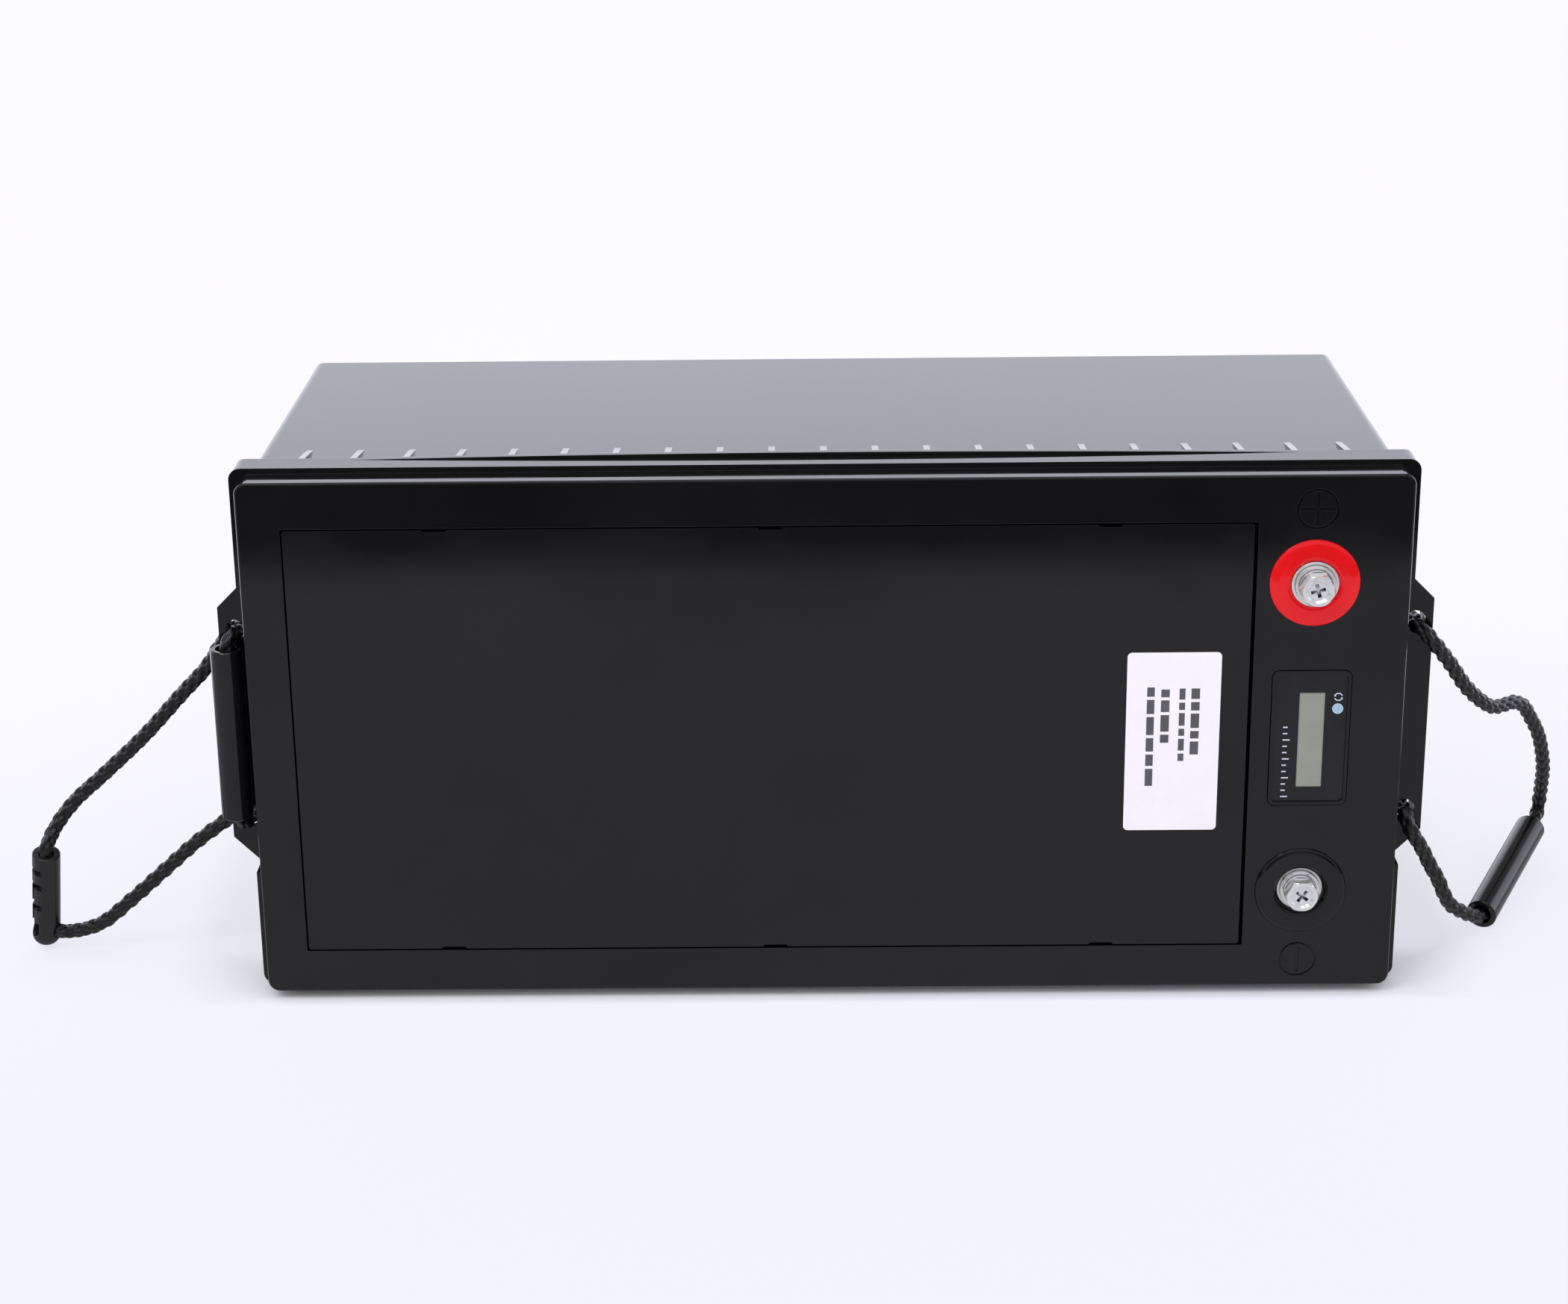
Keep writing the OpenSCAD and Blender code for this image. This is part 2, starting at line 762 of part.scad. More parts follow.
module pack_straps() {
    half = -block_x0 + plate;
    strap_w = 16;
    color([0.2, 0.2, 0.22])
        for (y = [cell_top_y + 25, cell_base_y - 41])
            prism(y, y + strap_w)
                difference() {
                    round_rect(-half - strap, cell_z0 - strap, half + strap, cell_z1 + strap, 0.8);
                    translate([-half, cell_z0])
                        square([2 * half, cell_width]);
                }
}

module base_pad() {
    margin = 6;
    color([0.12, 0.12, 0.12])
        prism(cell_base_y, base_inner_y)
            round_rect(-wall_half_base + wall + margin, wall_inset_base + wall + margin,
                wall_half_base - wall - margin, rim_width - wall_inset_base - wall - margin, 3);
}

module side_foams() {
    low = wall_inset_base + wall + 0.6;
    half = -block_x0 - 2;
    color([0.15, 0.15, 0.16])
        for (flip = [0, 1])
            translate([0, 0, flip * rim_width])
                mirror([0, 0, flip])
                    box([-half, cell_top_y + 6, low], [half, cell_base_y - 1, cell_z0 - strap - 0.2]);
}

module end_foams() {
    color([0.15, 0.15, 0.16])
        for (side = [0, 1])
            mirror([side, 0, 0])
                box([-block_x0 + plate + strap + 0.2, cell_top_y + 6, cell_z0 + 4],
                    [wall_half_base - wall - 0.6, cell_base_y - 1, cell_z1 - 4]);
}

// Centre of group i, counted from the left end
function group_x(i) = block_x0 + i * (group_length + spacer) + group_length / 2;

module busbars() {
    reach = group_length / 2 - 6;
    half_w = 11;
    spans = [[0, 0, 1], [0, 1, -1], [1, 2, 1], [2, 3, -1], [3, 3, 1]];
    color([0.8, 0.5, 0.3])
        for (s = spans)
            prism(busbar_y, cell_top_y - cell_post_h)
                translate([group_x(s[0]) - reach, mid_z + s[2] * post_offset - half_w])
                    square([group_x(s[1]) - group_x(s[0]) + 2 * reach, 2 * half_w]);
}

module busbar_screws() {
    color([0.75, 0.75, 0.78])
        for (x = [-152, 180])
            prism(busbar_y - 4, busbar_y)
                translate([x, mid_z + post_offset])
                    hexagon(10);
}

module bms_tray() {
    color([0.1, 0.1, 0.1]) {
        prism(tray_y, tray_y + 2)
            round_rect(bms_x0 - 5, bms_z0 - 5, bms_x1 + 5, bms_z1 + 5, 3);
        for (x = [bms_x0 + 10, bms_x1 - 10], z = [mid_z - 24, mid_z + 24])
            bar(x, z, tray_y + 1.9, cell_top_y, 8);
        for (spot = bms_screw_spots)
            bar(spot[0], spot[1], bms_y + 1.6, tray_y + 0.1, 6);
    }
}

module bms_board() {
    color([0.08, 0.3, 0.16])
        difference() {
            union() {
                prism(bms_y, bms_y + 1.6)
                    round_rect(bms_x0, bms_z0, bms_x1, bms_z1, 2);
                box([-66, bms_y - 4, 138], [-54, bms_y + 0.1, 150]);
                for (i = [0:5])
                    box([-160 + 16 * i, bms_y - 4.5, 136], [-150 + 16 * i, bms_y + 0.1, 152]);
            }
            for (spot = bms_screw_spots)
                bar(spot[0], spot[1], bms_y - 1, bms_y + 3, 3.4);
        }
}

module bms_heatsink() {
    fins = 9;
    color([0.7, 0.71, 0.73]) {
        box([-165, bms_y - 4, 72], [-75, bms_y, 124]);
        for (i = [0:fins - 1])
            box([-165 + 11 * i, bms_y - 14, 72], [-163 + 11 * i, bms_y - 3.9, 124]);
    }
}

module bms_screws() {
    color([0.8, 0.8, 0.82])
        for (spot = bms_screw_spots)
            difference() {
                bar(spot[0], spot[1], bms_y - 2, bms_y, 5.6);
                bar(spot[0], spot[1], bms_y - 3, bms_y - 1, 2.4);
            }
}

module positive_cable() {
    color([0.75, 0.1, 0.1])
        sweep(positive_cable_route, 9, 8);
}

module negative_cable() {
    color([0.1, 0.1, 0.1])
        sweep(negative_cable_route, 9, 8);
}

module bms_cable() {
    color([0.1, 0.1, 0.1])
        sweep(bms_cable_route, 9, 8);
}

// Flat sense harness: a spine over the cells with a tab to each busbar
module balance_leads() {
    thick = 0.6;
    y0 = busbar_y - thick;
    spine_z = mid_z;
    color([0.85, 0.6, 0.15]) {
        box([-150, y0, spine_z - 3], [150, busbar_y, spine_z + 3]);
        for (tab = [[-140, 1], [-68, -1], [20, 1], [100, -1], [145, 1]])
            box([tab[0] - 2, y0, min(spine_z, mid_z + tab[1] * 45)],
                [tab[0] + 2, busbar_y, max(spine_z, mid_z + tab[1] * 45)]);
    }
}

// ---------- Rope handles ----------

module tube_grip(length) {
    chamfer = 0.5;
    color([0.07, 0.07, 0.075])
        rotate_extrude()
            polygon([
                [tube_bore / 2, 0.3], [tube_bore / 2 + 0.3, 0], [tube_d / 2 - chamfer, 0],
                [tube_d / 2, chamfer], [tube_d / 2, length - chamfer], [tube_d / 2 - chamfer, length],
                [tube_bore / 2 + 0.3, length], [tube_bore / 2, length - 0.3]
            ]);
}

module left_tube_grip() {
    translate([tube_x, tube_y, tube_z0])
        tube_grip(tube_length);
}

module right_tube_grip() {
    along(right_tube_near, right_tube_far)
        tube_grip(norm(right_tube_far - right_tube_near));
}

// Slotted clamp that holds the rope's two ends: one enters the flat top, and the other
// a hole in the side that faces its +X, or else the lower end
module clamp_grip(side_hole) {
    r = clamp_d / 2;
    round_r = 4.6;
    bore = rope_d + 0.6;
    slot_turn = 220;
    slot_depth = 3.2;
    slots = [[21.2, 3.2], [32.8, 3.2], [41, 3]];
    color([0.07, 0.07, 0.075])
        difference() {
            rotate_extrude()
                difference() {
                    union() {
                        translate([r - round_r, round_r])
                            circle(round_r);
                        square([r - round_r, round_r]);
                        translate([0, round_r])
                            square([r, clamp_length - round_r - 0.6]);
                        square([r - 0.6, clamp_length]);
                        translate([0, clamp_length - 0.6])
                            intersection() {
                                translate([r - 0.6, 0])
                                    circle(0.6);
                                square([r, 0.6]);
                            }
                    }
                    difference() {
                        square([r + 1, round_r]);
                        translate([r - round_r, round_r])
                            circle(round_r);
                        square([r - round_r, round_r]);
                    }
                    translate([-r, 0])
                        square([r, clamp_length]);
                }
            translate([0, 0, side_hole ? 6 : -1])
                cylinder(d = bore, h = clamp_length + 2);
            if (side_hole)
                translate([0, 0, 8])
                    rotate([0, 90, 0])
                        cylinder(d = bore, h = clamp_d);
            rotate([0, 0, slot_turn]) {
                for (s = slots)
                    translate([slot_depth, -r, s[0]])
                        cube([r, clamp_d, s[1]]);
                translate([0, -1.5, 9])
                    cube([r + 1, 3, 25]);
                translate([0, 0, 9])
                    rotate([0, 90, 0])
                        cylinder(r = 4.2, h = r + 1);
                translate([0, -4.2, 9])
                    cube([r + 1, 8.4, 4.4]);
            }
        }
}

module left_clamp_grip() {
    along(clamp_base, clamp_top, 46)
        clamp_grip(true);
}

module right_clamp_grip() {
    translate(hidden_clamp)
        clamp_grip(false);
}

// Rope along a route, with a round end at each point where it bends about its lug hole
module rope(route, round_ends = []) {
    color([0.03, 0.03, 0.03]) {
        sweep(route, rope_d);
        for (p = round_ends)
            translate(p)
                sphere(d = rope_d + pivot_swell);
    }
}

module left_inner_rope() {
    rope(left_inner_route);
}

module left_upper_rope() {
    rope(left_upper_route, [left_upper_route[0]]);
}

module left_lower_rope() {
    rope(left_lower_route, [left_lower_route[len(left_lower_route) - 1]]);
}

module right_front_rope() {
    rope(right_front_route, [right_front_route[0], right_front_route[len(right_front_route) - 1]]);
}

module right_upper_rope() {
    rope(right_upper_route);
}

module right_lower_rope() {
    rope(right_lower_route);
}

container();
cover();
cover_seal();
inset_panel();
panel_adhesive();
label();
positive_ring();
negative_ring();
positive_terminal();
negative_terminal();
terminal_nuts();
positive_flat_washer();
negative_flat_washer();
positive_spring_washer();
negative_spring_washer();
positive_bolt();
negative_bolt();
meter_bezel();
meter_window();
meter_lcd();
meter_board();
meter_button();
meter_lead();
for (i = [1:groups])
    cell_group(i - 1);
cell_spacers();
end_plate_left();
end_plate_right();
pack_straps();
base_pad();
side_foams();
end_foams();
busbars();
busbar_screws();
bms_tray();
bms_board();
bms_heatsink();
bms_screws();
negative_cable();
positive_cable();
bms_cable();
balance_leads();
left_tube_grip();
right_tube_grip();
left_clamp_grip();
right_clamp_grip();
left_inner_rope();
left_upper_rope();
left_lower_rope();
right_front_rope();
right_upper_rope();
right_lower_rope();
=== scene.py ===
"""Deep cycle battery on a pale floor: the CAD frame with its visible shapes and materials."""
import json
import math
import random
import bpy
import bmesh
from mathutils import Matrix, Vector


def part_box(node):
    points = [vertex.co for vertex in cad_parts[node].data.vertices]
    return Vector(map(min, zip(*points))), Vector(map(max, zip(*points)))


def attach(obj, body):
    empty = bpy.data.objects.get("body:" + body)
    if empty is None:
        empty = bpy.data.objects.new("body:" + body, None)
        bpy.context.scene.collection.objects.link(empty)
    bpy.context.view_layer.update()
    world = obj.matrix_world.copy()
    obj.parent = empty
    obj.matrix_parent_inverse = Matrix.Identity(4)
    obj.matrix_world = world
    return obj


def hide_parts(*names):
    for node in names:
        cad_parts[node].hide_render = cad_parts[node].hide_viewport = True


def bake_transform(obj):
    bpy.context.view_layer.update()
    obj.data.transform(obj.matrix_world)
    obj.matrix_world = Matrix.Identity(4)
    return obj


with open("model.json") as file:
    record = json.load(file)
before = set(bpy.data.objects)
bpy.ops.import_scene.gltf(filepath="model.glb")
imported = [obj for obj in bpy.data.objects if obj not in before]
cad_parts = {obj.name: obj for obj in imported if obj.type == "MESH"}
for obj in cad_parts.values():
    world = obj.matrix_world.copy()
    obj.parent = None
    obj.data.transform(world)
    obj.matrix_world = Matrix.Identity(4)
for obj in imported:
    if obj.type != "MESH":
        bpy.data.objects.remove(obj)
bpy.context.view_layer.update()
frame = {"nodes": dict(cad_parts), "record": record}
nodes = frame["nodes"]

MM = 0.001


def mm(*values):
    return Vector(values) * MM


# ---------- Camera, light and floor ----------

CAMERA_AT = mm(-3.17, -1297.04, 624.89)
YAW, PITCH, ROLL = -0.635, 20.0, -0.657
LENS = 73.835


def add_camera():
    """The photo's camera. Its angles are in degrees and its lens in mm."""
    yaw, pitch, roll = (math.radians(a) for a in (YAW, PITCH, ROLL))
    forward = Vector((math.sin(yaw) * math.cos(pitch), math.cos(yaw) * math.cos(pitch), -math.sin(pitch)))
    level = Vector((math.cos(yaw), -math.sin(yaw), 0))
    above = level.cross(forward)
    right = level * math.cos(roll) + above * math.sin(roll)
    up = above * math.cos(roll) - level * math.sin(roll)
    data = bpy.data.cameras.new("camera")
    data.lens = LENS
    data.sensor_width = 36
    data.clip_end = 100
    camera = bpy.data.objects.new("camera", data)
    camera.matrix_world = Matrix.Translation(CAMERA_AT) @ Matrix((right, up, -forward)).transposed().to_4x4()
    bpy.context.scene.collection.objects.link(camera)
    bpy.context.scene.camera = camera


def add_softbox(name, at, aim, size, power):
    """A rectangular white lamp at one point, which shines at another. Lengths are in metres."""
    data = bpy.data.lights.new(name, "AREA")
    data.shape = "RECTANGLE"
    data.size, data.size_y = size
    data.energy = power
    light = bpy.data.objects.new(name, data)
    light.location = at
    light.rotation_euler = (Vector(aim) - Vector(at)).to_track_quat("-Z", "Y").to_euler()
    bpy.context.scene.collection.objects.link(light)


class Tree:
    """A node tree that is written one call to a node."""

    def __init__(self, owner):
        owner.use_nodes = True
        self.tree = owner.node_tree
        self.tree.nodes.clear()

    def add(self, kind, props=(), **inputs):
        """A node with its settings and inputs. An underscore in an input's name stands for a space."""
        node = self.tree.nodes.new(kind)
        for key, value in dict(props).items():
            setattr(node, key, value)
        for key, value in inputs.items():
            self.set(node, key.replace("_", " "), value)
        return node

    def set(self, node, key, value):
        """Sets or links an input, found by its name or by the digits of its index."""
        socket = node.inputs[int(key)] if key.isdigit() else node.inputs[key]
        if isinstance(value, bpy.types.NodeSocket):
            self.tree.links.new(value, socket)
        else:
            socket.default_value = value

    def maths(self, operation, a, b=0.0):
        node = self.add("ShaderNodeMath", {"operation": operation})
        self.set(node, "0", a)
        self.set(node, "1", b)
        return node.outputs[0]

    def ramp(self, value, low, high, to_low=0.0, to_high=1.0):
        """A smooth step: to_low up to low, and to_high from high."""
        node = self.add("ShaderNodeMapRange", {"interpolation_type": "SMOOTHSTEP"}, Value=value)
        for key, number in (("1", low), ("2", high), ("3", to_low), ("4", to_high)):
            self.set(node, key, number)
        return node.outputs[0]

    def mix(self, factor, a, b):
        node = self.add("ShaderNodeMix", {"data_type": "RGBA"})
        self.set(node, "0", factor)
        for key, value in (("6", a), ("7", b)):
            self.set(node, key, value)
        return node.outputs[2]

    def mix_shaders(self, factor, a, b):
        node = self.add("ShaderNodeMixShader")
        for key, value in (("0", factor), ("1", a.outputs[0]), ("2", b.outputs[0])):
            self.set(node, key, value)
        return node


def add_world():
    """A white studio, pale to the camera. In reflections it is brighter behind the battery and overhead,
    and darker in front."""
    world = bpy.data.worlds.new("studio")
    bpy.context.scene.world = world
    t = Tree(world)
    ray = t.add("ShaderNodeLightPath")
    way = t.add("ShaderNodeSeparateXYZ", Vector=t.add("ShaderNodeTexCoord").outputs["Generated"])
    back = t.ramp(way.outputs["Y"], -0.35, 0.25)
    above = t.ramp(way.outputs["Z"], 0.0, 0.8)
    behind = t.ramp(way.outputs["Z"], 0.42, 0.62, 1.72, 0.30)
    front = t.ramp(way.outputs["Z"], 0.02, 0.22, 0.06, 0.5)
    overhead = t.ramp(way.outputs["Z"], 0.84, 0.95, 0.0, 1.5)
    sides = t.maths("ADD", t.maths("MULTIPLY", back, behind),
                    t.maths("MULTIPLY", t.maths("SUBTRACT", 1.0, back), front))
    glow = t.maths("ADD", sides, overhead)
    seen = t.add("ShaderNodeBackground", Color=(0.965, 0.947, 0.99, 1), Strength=1.0)
    reflected = t.add("ShaderNodeBackground", Color=(0.885, 0.89, 1.02, 1), Strength=glow)
    ambient = t.add("ShaderNodeBackground", Color=(0.97, 0.975, 1.0, 1),
                    Strength=t.ramp(above, 0, 1, 0.92, 1.08))
    indirect = t.mix_shaders(ray.outputs["Is Glossy Ray"], ambient, reflected)
    shown = t.mix_shaders(ray.outputs["Is Camera Ray"], indirect, seen)
    t.add("ShaderNodeOutputWorld", Surface=shown.outputs[0])


def add_floor():
    """The floor runs under the rim's edge and the case base, so it slopes up a little towards the base.
    The camera sees it partly lit and partly as plain paper. It is all lit just under the rim, for a contact
    shadow, and mostly paper in front of the battery and beside it."""
    edge_y, base_rise, half = 0.00875, 0.0086, 12.0
    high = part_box("container")[1]
    rise = base_rise / (high.y - edge_y)
    mesh = bpy.data.meshes.new("floor")
    corners = [(x, y, (y - edge_y) * rise)
               for x, y in ((-half, -half), (half, -half), (half, half), (-half, half))]
    mesh.from_pydata(corners, [], [(0, 1, 2, 3)])
    floor = bpy.data.objects.new("floor", mesh)
    bpy.context.scene.collection.objects.link(floor)
    material = bpy.data.materials.new("floor")
    t = Tree(material)
    place = t.add("ShaderNodeSeparateXYZ", Vector=t.add("ShaderNodeTexCoord").outputs["Object"])
    ray = t.add("ShaderNodeLightPath")
    near_tone, far_tone = (0.895, 0.898, 1.02, 1), (0.965, 0.947, 0.99, 1)
    tone = t.mix(t.ramp(place.outputs["Y"], -0.3, 0.6), near_tone, far_tone)
    lit = t.add("ShaderNodeBsdfDiffuse", Color=(0.93, 0.93, 0.985, 1))
    paper = t.add("ShaderNodeEmission", Color=tone, Strength=1.0)
    under = t.maths("ADD", t.ramp(place.outputs["Y"], -0.027, -0.018, 0.94, 0.0),
                    t.ramp(place.outputs["Y"], 0.0, 0.03, 0.0, 0.55))
    beside = t.ramp(t.maths("ABSOLUTE", place.outputs["X"], 0.0), 0.245, 0.3, 0.0, 0.8)
    share = t.maths("MAXIMUM", under, beside)
    seen = t.mix_shaders(t.maths("MULTIPLY", ray.outputs["Is Camera Ray"], share), lit, paper)
    # In reflections the floor glows rather than being lit: painted shade in front of the battery, and painted
    # light far behind it
    shade = t.maths("ADD", t.ramp(place.outputs["Y"], -0.78, -0.66, 0.06, 0.51),
                    t.ramp(place.outputs["Y"], 0.15, 0.3, 0.0, 1.1))
    reflected = t.add("ShaderNodeEmission", Color=(0.95, 0.955, 1.06, 1), Strength=shade)
    mixed = t.mix_shaders(ray.outputs["Is Glossy Ray"], seen, reflected)
    t.add("ShaderNodeOutputMaterial", Surface=mixed.outputs[0])
    mesh.materials.append(material)


# ---------- Materials ----------

def surface(name, colour, roughness, metallic=0.0, spread=0.15, grain=60, bump=(400, 0.05),
            rough_spread=0.04, edge=0.0, painted_shade_mm=0.0, **sockets):
    """A procedural Principled material: colour and roughness drift with noise, with a fine bump, given as its
    noise's scale and its strength. Edges are softened over edge mm. Painted shade: ambient occlusion darkens
    the base colour in corners and gaps, within the given reach in mm."""
    material = bpy.data.materials.new(name)
    t = Tree(material)
    place = t.add("ShaderNodeTexCoord").outputs["Object"]
    drift = t.add("ShaderNodeTexNoise", Vector=place, Scale=grain, Detail=5.0, Roughness=0.6)
    dark = tuple(c * (1 - spread) for c in colour) + (1,)
    light = tuple(min(1, c * (1 + spread)) for c in colour) + (1,)
    tint = t.mix(t.ramp(drift.outputs[0], 0.3, 0.7), dark, light)
    wear = t.add("ShaderNodeTexNoise", Vector=place, Scale=grain * 2.7, Detail=3.0)
    rough = t.ramp(wear.outputs[0], 0.3, 0.7, max(0.01, roughness - rough_spread), roughness + rough_spread)
    fine = t.add("ShaderNodeTexNoise", Vector=place, Scale=bump[0], Detail=3.0)
    height = t.add("ShaderNodeBump", Strength=bump[1], Distance=0.0004, Height=fine.outputs[0])
    if edge:
        t.set(height, "Normal", t.add("ShaderNodeBevel", {"samples": 6}, Radius=edge * MM).outputs[0])
    shader = t.add("ShaderNodeBsdfPrincipled", Roughness=rough, Metallic=metallic, Normal=height.outputs[0])
    # Painted shade: ambient occlusion darkens the base colour in corners and gaps
    if painted_shade_mm:
        open_to = t.add("ShaderNodeAmbientOcclusion", {"samples": 8}, Distance=painted_shade_mm * MM).outputs["AO"]
        tint = t.mix(t.ramp(open_to, 0.35, 0.9), (0.0, 0.0, 0.0, 1), tint)
    t.set(shader, "Base Color", tint)
    for key, value in sockets.items():
        t.set(shader, key.replace("_", " "), value)
    t.add("ShaderNodeOutputMaterial", Surface=shader.outputs[0])
    return material


BLACK = (0.0045, 0.0045, 0.0052)

# The case, panel, terminal, washer, bolt, bezel and rope materials have painted shade, darker in corners and
# gaps
MATERIALS = {
    "case_plastic": surface("case_plastic", BLACK, 0.07, spread=0.3, grain=9, bump=(35, 0.02), edge=0.28,
                            painted_shade_mm=1.2),
    "panel_plastic": surface("panel_plastic", (0.005, 0.005, 0.006), 0.07, spread=0.3, grain=7,
                             bump=(22, 0.04), edge=0.15, painted_shade_mm=0.8),
    "seal_rubber": surface("seal_rubber", (0.03, 0.03, 0.03), 0.6, bump=(900, 0.3)),
    "adhesive": surface("adhesive", (0.55, 0.52, 0.42), 0.5, bump=(300, 0.4)),
    # Painted shade: a matt black for the frame in the inset panel's gap
    "gap_shade_black": surface("gap_shade_black", (0.001, 0.001, 0.001), 0.9, bump=(300, 0.2), Specular_IOR_Level=0.03),
    "label_paper": surface("label_paper", (0.95, 0.905, 0.965), 0.45, spread=0.02, bump=(1500, 0.1)),
    "label_ink": surface("label_ink", (0.10, 0.10, 0.11), 0.5, bump=(1500, 0.1)),
    "white_ink": surface("white_ink", (0.62, 0.66, 0.78), 0.5, spread=0.05, bump=(1500, 0.1)),
    "ring_red": surface("ring_red", (0.78, 0.007, 0.010), 0.06, spread=0.05, bump=(60, 0.03)),
    "ring_black": surface("ring_black", BLACK, 0.09, spread=0.2, bump=(60, 0.02)),
    "terminal_metal": surface("terminal_metal", (0.95, 0.92, 0.88), 0.12, 0.62, spread=0.06,
                              bump=(500, 0.04), edge=0.12, painted_shade_mm=0.9),
    "nut_brass": surface("nut_brass", (0.62, 0.48, 0.25), 0.3, 1.0),
    "washer_steel": surface("washer_steel", (0.95, 0.94, 0.94), 0.1, 0.68, spread=0.05,
                            bump=(700, 0.04), edge=0.12, painted_shade_mm=0.9),
    "bolt_steel": surface("bolt_steel", (0.96, 0.96, 0.97), 0.08, 0.66, spread=0.05, bump=(500, 0.03),
                          edge=0.15, painted_shade_mm=1.4),
    "screw_steel": surface("screw_steel", (0.62, 0.62, 0.64), 0.3, 1.0),
    "bezel_plastic": surface("bezel_plastic", (0.005, 0.005, 0.006), 0.14, spread=0.2, bump=(200, 0.05),
                             edge=0.8, painted_shade_mm=0.8),
    "overlay_plastic": surface("overlay_plastic", (0.008, 0.008, 0.010), 0.22, spread=0.1, bump=(900, 0.08)),
    "lcd_glass": surface("lcd_glass", (0.28, 0.295, 0.25), 0.16, spread=0.05, grain=30,
                         bump=(100, 0.01)),
    "board_green": surface("board_green", (0.02, 0.12, 0.05), 0.35, bump=(600, 0.15)),
    "button_rim": surface("button_rim", (0.60, 0.71, 0.82), 0.3, spread=0.03, bump=(500, 0.05)),
    "button_blue": surface("button_blue", (0.365, 0.515, 0.655), 0.4, spread=0.03, bump=(500, 0.05)),
    "lead_red": surface("lead_red", (0.42, 0.02, 0.02), 0.4),
    "lead_black": surface("lead_black", (0.015, 0.015, 0.015), 0.4),
    "cell_wrap": surface("cell_wrap", (0.02, 0.10, 0.38), 0.25),
    "spacer_board": surface("spacer_board", (0.65, 0.62, 0.5), 0.6),
    "plate_aluminium": surface("plate_aluminium", (0.6, 0.61, 0.63), 0.35, 1.0),
    "foam": surface("foam", (0.02, 0.02, 0.02), 0.9, bump=(1200, 0.8)),
    "busbar_copper": surface("busbar_copper", (0.72, 0.36, 0.2), 0.3, 1.0),
    "tray_plastic": surface("tray_plastic", (0.02, 0.02, 0.02), 0.5),
    "harness_film": surface("harness_film", (0.5, 0.25, 0.03), 0.3),
    "grip_plastic": surface("grip_plastic", (0.006, 0.006, 0.007), 0.12, spread=0.2, bump=(300, 0.06),
                            edge=0.5),
    "clamp_plastic": surface("clamp_plastic", (0.008, 0.008, 0.009), 0.34, spread=0.2, bump=(700, 0.12),
                             edge=0.5),
    "rope_fibre": surface("rope_fibre", (0.005, 0.005, 0.0055), 0.26, spread=0.4, grain=900,
                          bump=(3000, 0.4), painted_shade_mm=0.7),
}


def dress(obj, slot_name):
    """Gives an object one material and no other."""
    obj.data.materials.clear()
    obj.data.materials.append(MATERIALS[slot_name])


def dress_cad_nodes():
    """Gives each CAD node the material of its slot in the record."""
    for row in frame["record"]["subparts"]:
        obj = nodes[row["node"]]
        if obj.data.materials:
            obj.data.materials[0] = MATERIALS[row["material_slot"]]
        else:
            obj.data.materials.append(MATERIALS[row["material_slot"]])


def add_piece(name, verts, faces, slot_name, body, smooth=True):
    """A new mesh piece in metres. It rides a body, unless body is None, when it rides none."""
    mesh = bpy.data.meshes.new(name)
    mesh.from_pydata([tuple(v) for v in verts], [], faces)
    mesh.validate()
    mesh.polygons.foreach_set("use_smooth", [smooth] * len(mesh.polygons))
    obj = bpy.data.objects.new(name, mesh)
    bpy.context.scene.collection.objects.link(obj)
    dress(obj, slot_name)
    if body:
        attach(obj, body)
    return obj


# ---------- Ropes ----------

# Centrelines in mm. Each starts and ends in a clamp grip
LEFT_ROUTE = [
    (-354.5, 31.7, 10.9), (-347.6, 30.2, 9.6), (-339, 30.4, 10), (-328.5, 30.2, 13.7),
    (-313.5, 29.4, 26), (-298, 28.8, 40), (-283, 28.4, 53.5), (-272, 28, 62),
    (-264, 27.6, 67.6), (-258.4, 26.4, 71.2), (-256.5, 24.9, 72.3), (-254.24, 21.55, 73.87),
    (-253.5, 17.5, 74.4),
    (-253.3, 12.3, 74.5), (-253.3, 8.6, 74.5), (-254.6, 2, 74.8), (-256.2, -1, 77.6), (-256.9, -1.6, 84),
    (-257, -1.6, 101), (-257, -1.6, 118), (-257, -1.6, 134), (-257, -1.6, 150),
    (-256.6, -1.6, 157.6), (-254.8, 0, 161.2), (-253.6, 4, 162.2), (-253.3, 8.6, 162),
    (-253.3, 12.3, 162), (-253.5, 17.5, 161.7), (-254.33, 22.05, 160.25), (-256.5, 24.9, 157.9),
    (-258.4, 26.4, 156.1),
    (-264.6, 27.8, 148.5), (-272, 28.4, 137.5), (-284, 30, 124.5), (-303, 33, 103.5),
    (-323.5, 34.5, 84), (-337, 32.5, 72), (-345.4, 27.6, 61.4), (-348.6, 21.3, 53.8), (-351, 25.4, 37),
]
